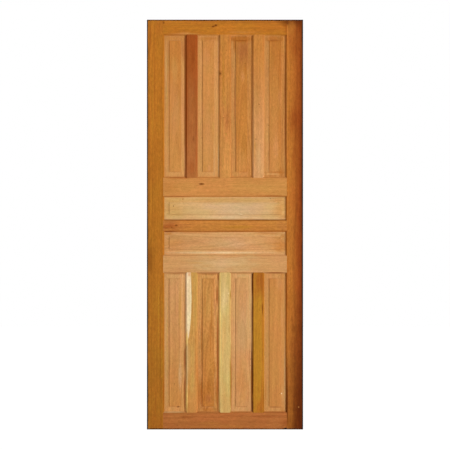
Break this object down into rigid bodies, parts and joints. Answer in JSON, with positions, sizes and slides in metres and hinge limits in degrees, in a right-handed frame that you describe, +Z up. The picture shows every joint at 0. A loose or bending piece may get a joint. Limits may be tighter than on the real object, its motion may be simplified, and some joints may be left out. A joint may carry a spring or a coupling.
{
  "type": "panel door leaf",
  "caption": "Framed timber door leaf of mixed woods, with moulded stiles, rails and muntins holding raised panels, made to hang in a doorway.",
  "frame": {"origin": "the middle of the hinge edge: half way up the leaf and half way through its thickness, on the hinge stile's outer edge", "axes": "+X across the leaf from the hinge edge to the lock edge, +Y through the thickness from the face in the picture to the other face, +Z up"},
  "size_m": [0.8, 0.035, 2.1],
  "materials": {
    "amber_wood": "satin clear varnish over planed hardwood",
    "russet_wood": "satin clear varnish over planed hardwood",
    "red_brown_wood": "satin clear varnish over planed hardwood",
    "honey_wood": "satin clear varnish over planed hardwood",
    "tan_wood": "satin clear varnish over planed hardwood",
    "pale_wood": "satin clear varnish over planed hardwood",
    "rosy_wood": "satin clear varnish over planed hardwood",
    "sapwood_streaked_wood": "satin clear varnish over planed hardwood"
  },
  "bodies": {
    "root": {"hinge_stile": "amber_wood", "top_rail": "amber_wood", "lower_muntin_3": "amber_wood", "lock_stile": "russet_wood", "upper_muntin_1": "red_brown_wood", "bottom_rail": "red_brown_wood", "upper_muntin_2": "honey_wood", "upper_panel_3": "honey_wood", "middle_rail": "honey_wood", "lower_panel_2": "honey_wood", "upper_muntin_3": "tan_wood", "upper_lock_rail": "tan_wood", "upper_panel_1": "tan_wood", "upper_panel_2": "tan_wood", "upper_panel_4": "tan_wood", "lower_panel_4": "tan_wood", "upper_lock_panel": "pale_wood", "lower_lock_rail": "pale_wood", "lower_muntin_2": "pale_wood", "lower_lock_panel": "rosy_wood", "lower_panel_1": "rosy_wood", "lower_panel_3": "rosy_wood", "lower_muntin_1": "sapwood_streaked_wood"}
  },
  "joints": []
}
